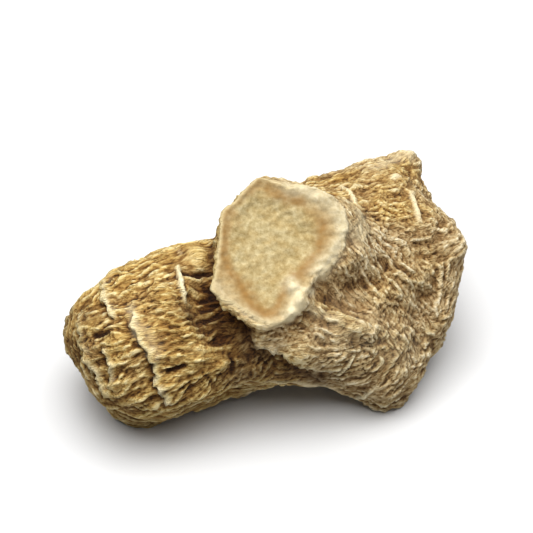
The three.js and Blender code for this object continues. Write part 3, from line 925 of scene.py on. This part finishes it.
class Finish:
    """A node material, built up one node at a time."""

    def __init__(self, name):
        self.material = bpy.data.materials.new(name)
        self.material.use_nodes = True
        self.nodes = self.material.node_tree.nodes
        self.links = self.material.node_tree.links
        self.shader = self.nodes["Principled BSDF"]

    def feed(self, node, inputs):
        """Puts values, or outputs of other nodes, on a node's inputs."""
        for name, value in inputs.items():
            if isinstance(value, bpy.types.NodeSocket):
                self.links.new(value, node.inputs[name])
            else:
                node.inputs[name].default_value = value

    def node(self, kind, output, inputs, **settings):
        """A new node of that kind, set and fed: gives the output of that name."""
        node = self.nodes.new("ShaderNode" + kind)
        for name, value in settings.items():
            setattr(node, name, value)
        self.feed(node, inputs)
        return node.outputs[output]

    def place(self):
        """The place on the piece, in metres."""
        return self.node("TexCoord", "Object", {})

    def read(self, name):
        """What the mesh keeps under that name."""
        return self.node("Attribute", "Fac", {}, attribute_name=name)

    def noise(self, size, detail=3.0, roughness=0.55):
        """Noise with lumps of about that size in millimetres."""
        inputs = {"Vector": self.place(), "Scale": 1 / (size * MM), "Detail": detail}
        return self.node("TexNoise", "Fac", inputs | {"Roughness": roughness})

    def fibres(self, way, length, width):
        """Fine threads that run that way: 0 in the lines between them and 1 on them."""
        turn = Vector(way).to_track_quat("X", "Z").to_euler()
        size = (length * MM, width * MM, width * MM)
        inputs = {"Vector": self.place(), "Rotation": turn, "Scale": size}
        along = self.node("Mapping", "Vector", inputs, vector_type="TEXTURE")
        inputs = {"Vector": along, "Scale": 1.0, "Detail": 2.0, "Distortion": 0.6}
        wave = self.node("TexNoise", "Fac", inputs)
        return self.spread(self.math("ABSOLUTE", self.math("SUBTRACT", wave, 0.5)), 0.0, 0.09)

    def threads(self, length, width):
        """Fine threads that follow the grain."""
        level, falling, climbing = (self.fibres(way, length, width) for way in THREADS)
        threads = self.blend(self.read("falling"), level, falling)
        return self.blend(self.read("climbing"), threads, climbing)

    def blend(self, share, one, two):
        """A number between two numbers."""
        return self.node("Mix", "Result", {"Factor": share, "A": one, "B": two})

    def mix(self, share, one, two, way="MIX"):
        """A colour between two colours."""
        inputs = {"Factor": share, "A": one, "B": two}
        return self.node("Mix", "Result", inputs, data_type="RGBA", blend_type=way)

    def math(self, what, one, two=0.0, clamp=False):
        return self.node("Math", 0, {0: one, 1: two}, operation=what, use_clamp=clamp)

    def times(self, one, two, clamp=False):
        return self.math("MULTIPLY", one, two, clamp)

    def plus(self, one, two, clamp=False):
        return self.math("ADD", one, two, clamp)

    def ramp(self, value, *stops):
        """Colours at places from 0 to 1: each stop is its place and its red, green and blue."""
        output = self.node("ValToRGB", "Color", {"Fac": value})
        marks = output.node.color_ramp.elements
        while len(marks) < len(stops):
            marks.new(0.5)
        for mark, (place, *shade) in zip(marks, stops):
            mark.position = place
            mark.color = linear(*shade)
        return output

    def spread(self, value, low, high):
        """The value stretched so that low becomes 0 and high becomes 1."""
        return self.node("MapRange", "Result", {"Value": value, "From Min": low, "From Max": high})

    def bump(self, height, strength, distance, **under):
        """Fine relief that high in millimetres, over what is under it."""
        inputs = {"Height": height, "Strength": strength, "Distance": distance * MM}
        return self.node("Bump", "Normal", inputs | under)


def bark_colour(coat, fibres, fine):
    """Dark in the grooves, partly the bark's own colour and partly painted shade, with painted shade in
    the broad hollows too; pale on the crests, golden on the tap root and greyed elsewhere.
    """
    speck = coat.spread(coat.noise(0.35, 4.0), 0.3, 0.7)
    blotch = coat.spread(coat.noise(1.9, 3.0, 0.6), 0.32, 0.68)
    height = coat.read("crest")
    for layer, share in ((speck, 0.16), (fibres, 0.26), (fine, 0.1), (blotch, 0.3)):
        height = coat.plus(height, coat.times(layer, share))
    height = coat.math("SUBTRACT", height, 0.46, clamp=True)
    golden = coat.ramp(height, *GOLDEN)
    greyed = coat.ramp(height, *GREYED)
    patch = coat.spread(coat.noise(3.5), 0.35, 0.65)
    patch = coat.times(coat.math("SUBTRACT", patch, 0.5), 0.5)
    colour = coat.mix(coat.plus(coat.read("golden"), patch, clamp=True), greyed, golden)
    # Painted shade: the broad hollows darkened.
    hollow_shade = coat.mix(1.0, colour, linear(188, 163, 130), "MULTIPLY")
    return coat.mix(coat.spread(coat.read("hump"), 0.05, 0.62), hollow_shade, colour)


def flesh_colour(coat, mottle):
    """The cut face: a pale centre and margin, and the brown ring of cambium between them."""
    centre = coat.ramp(mottle, (0.32, 144, 127, 82), (0.5, 173, 156, 114), (0.68, 201, 187, 146))
    margin = coat.ramp(mottle, (0.3, 146, 122, 80), (0.5, 168, 146, 104), (0.7, 190, 170, 128))
    flesh = coat.mix(coat.read("core"), margin, centre)
    clouds = coat.ramp(coat.noise(1.3, 3.0, 0.6), (0.36, 234, 224, 204), (0.64, 255, 255, 255))
    flesh = coat.mix(1.0, flesh, clouds, "MULTIPLY")
    broken = coat.blend(coat.spread(coat.noise(0.8, 4.0, 0.65), 0.25, 0.6), 0.5, 1.0)
    line = coat.times(coat.read("brown"), broken, clamp=True)
    return coat.mix(line, flesh, linear(142, 107, 56))


def dried_bark():
    coat = Finish("dried_bark")
    fibres = coat.threads(2.0, 0.42)
    fine = coat.threads(1.1, 0.2)
    mottle = coat.noise(0.62, 6.0, 0.75)
    cut = coat.read("cut")
    worn = coat.read("worn")
    colour = coat.mix(cut, bark_colour(coat, fibres, fine), flesh_colour(coat, mottle))
    pale_bark = coat.ramp(mottle, (0.3, 176, 160, 121), (0.7, 214, 204, 174))
    # Pale worn bark, and a faint painted light on the body's low front slope.
    colour = coat.mix(coat.times(worn, 0.9, clamp=True), colour, pale_bark)
    colour = coat.mix(coat.times(coat.read("rim"), 0.7), colour, linear(204, 188, 146))
    # Painted shade: the colour darkened towards brown where shade falls.
    stained = coat.mix(1.0, colour, linear(118, 90, 54), "MULTIPLY")
    colour = coat.mix(coat.read("stain"), colour, stained)
    ridge = coat.times(coat.read("pale"), 0.8, clamp=True)
    colour = coat.mix(ridge, colour, linear(238, 225, 186))
    rough = coat.math("SUBTRACT", 1.0, coat.math("MAXIMUM", cut, worn))
    grit = coat.bump(coat.noise(0.22, 5.0, 0.7), 0.5, 0.12)
    grit = coat.bump(coat.noise(0.6), 0.35, 0.2, Normal=grit)
    grit = coat.bump(coat.times(fine, rough), 0.5, 0.06, Normal=grit)
    grit = coat.bump(coat.times(fibres, rough), 0.8, 0.16, Normal=grit)
    inputs = {"Base Color": colour, "Normal": grit, "Roughness": 0.88, "Specular IOR Level": 0.25}
    coat.feed(coat.shader, inputs)
    return coat.material


# --- the stage ---


def floor():
    bpy.ops.mesh.primitive_plane_add(size=FLOOR_SIZE, location=(0, 0, CAD_BOX[0][2]))
    sheet = bpy.context.active_object
    sheet.name = "white_table"
    bpy.ops.object.transform_apply()
    paper = Finish("white_table")
    grey = paper.mix(paper.node("LightPath", "Is Camera Ray", {}), FLOOR_GREY, FLOOR_SEEN)
    paper.feed(paper.shader, {"Base Color": grey, "Roughness": 0.9, "Specular IOR Level": 0.1})
    sheet.data.materials.append(paper.material)


def lights():
    """One soft square lamp above, and the light of a white room."""
    lamp = bpy.data.lights.new("overhead", "AREA")
    lamp.size = LAMP_SIZE
    lamp.energy = LAMP_POWER
    holder = bpy.data.objects.new("overhead", lamp)
    holder.location = LAMP_PLACE
    holder.rotation_euler = (-Vector(LAMP_PLACE)).to_track_quat("-Z", "Y").to_euler()
    bpy.context.scene.collection.objects.link(holder)
    world = bpy.data.worlds.new("room")
    world.use_nodes = True
    bpy.context.scene.world = world
    background = world.node_tree.nodes["Background"]
    background.inputs["Color"].default_value = (1, 1, 1, 1)
    background.inputs["Strength"].default_value = ROOM_LIGHT


def camera():
    low, high = (Vector(corner) for corner in CAD_BOX)
    eye = bpy.data.cameras.new("view")
    eye.lens = LENS
    holder = bpy.data.objects.new("view", eye)
    holder.location = (low + high) / 2 + Vector((0, -FAR * math.cos(TILT), FAR * math.sin(TILT)))
    holder.rotation_euler = (math.radians(90) - TILT, 0, 0)
    bpy.context.scene.collection.objects.link(holder)
    bpy.context.scene.camera = holder
    bpy.context.scene.view_settings.view_transform = "Standard"


# --- putting it together ---

skin = carve(fine_skin())
finish_skin(skin)
bark_piece = skin.piece
make_active(bark_piece)
bpy.ops.object.shade_smooth()
bark_piece.data.materials.clear()
bark_piece.data.materials.append(dried_bark())
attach(bark_piece, "root")
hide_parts(NODE)
floor()
lights()
camera()
